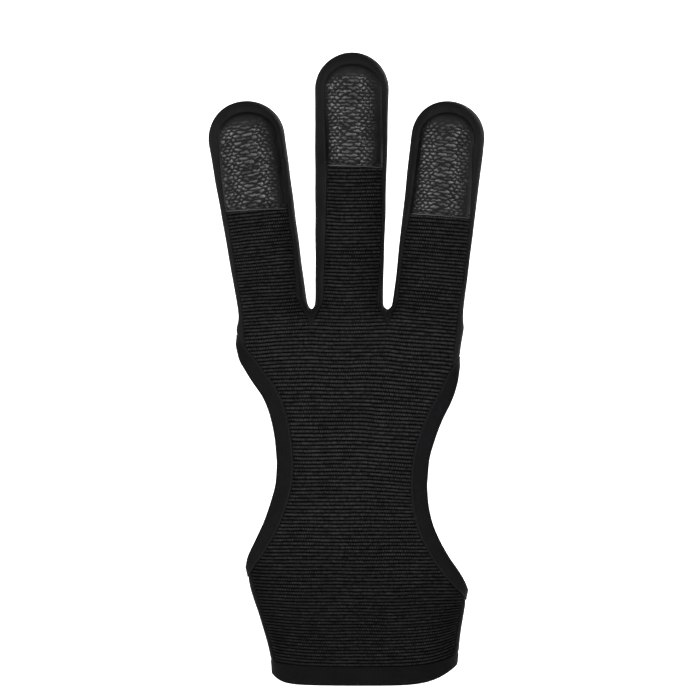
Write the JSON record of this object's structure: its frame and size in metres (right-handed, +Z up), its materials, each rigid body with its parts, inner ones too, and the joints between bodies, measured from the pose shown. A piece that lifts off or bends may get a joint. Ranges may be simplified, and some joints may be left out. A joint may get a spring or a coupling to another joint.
{
  "type": "archery glove",
  "caption": "Archery glove in worn form: ring, middle and index fingers with leather tip pads, ribbed palm, smooth back, taped openings at the thumb's and little finger's sides.",
  "frame": {"origin": "middle of the wrist opening, level with the lowest point of the hem", "axes": "+Z up the middle finger, +X to the thumb's side, palm facing -Y"},
  "size_m": [0.0826, 0.0394, 0.1899],
  "materials": {
    "ribbed_knit": "black elastic rib knit, matt",
    "jersey": "black smooth jersey, matt",
    "tape": "black folded binding, matt",
    "pad_leather": "black pebbled leather, satin"
  },
  "bodies": {
    "root": {"palm_panel": "ribbed_knit", "back_panel": "jersey", "ring_tip_pad": "pad_leather", "middle_tip_pad": "pad_leather", "index_tip_pad": "pad_leather", "pinky_side_binding": "tape", "thumb_side_binding": "tape", "wrist_hem": "tape"}
  },
  "joints": []
}
